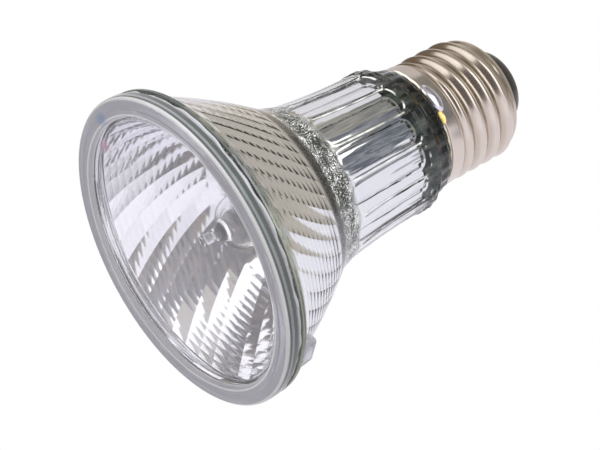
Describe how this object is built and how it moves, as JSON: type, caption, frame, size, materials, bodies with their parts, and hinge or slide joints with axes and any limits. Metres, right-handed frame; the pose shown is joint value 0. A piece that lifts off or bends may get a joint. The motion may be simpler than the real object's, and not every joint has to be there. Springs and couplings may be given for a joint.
{
  "type": "halogen_reflector_lamp",
  "caption": "Halogen reflector lamp with a faceted glass reflector, a neck of flat panels, a clear front lens, a quartz halogen capsule on its axis and a nickel-plated E27 screw cap.",
  "frame": {"origin": "centre of the plane through the front of the lens rim, on the lamp's axis", "axes": "+Z runs along the lamp's axis from the lens to the screw cap, -Y faces the side with the solder bead, +X is to the right of that side"},
  "size_m": [0.0644, 0.0644, 0.0858],
  "materials": {
    "pressed_glass": "clear pressed borosilicate glass, aluminised inside the bowl and down the neck, bare at the neck's end",
    "seal_bead": "thin translucent sealing bead between lens and reflector",
    "quartz": "clear fused quartz with a drawn tip and a flat pinch",
    "tungsten": "dull grey tungsten coil",
    "molybdenum": "grey molybdenum wire and foil, satin",
    "brass": "plain brass, slightly tarnished",
    "nickel_wire": "nickel-plated connecting wire",
    "nickel_plate": "bright warm nickel plating on a rolled brass shell",
    "cement": "matt cream basing cement",
    "black_glass": "opaque black cap glass, glossy",
    "solder": "bright tin solder with a smooth surface"
  },
  "bodies": {
    "root": {"front_lens": "pressed_glass", "lens_seal": "seal_bead", "reflector": "pressed_glass", "capsule_envelope": "quartz", "filament": "tungsten", "filament_lead_long": "molybdenum", "filament_lead_short": "molybdenum", "foil_left": "molybdenum", "foil_right": "molybdenum", "lead_pin_left": "molybdenum", "lead_pin_right": "molybdenum", "ferrule_left": "brass", "ferrule_right": "brass", "shell_lead_wire": "nickel_wire", "contact_lead_wire": "nickel_wire", "cap_shell": "nickel_plate", "cap_cement": "cement", "cap_insulator": "black_glass", "centre_contact": "brass", "contact_solder": "solder", "side_solder": "solder"}
  },
  "joints": []
}
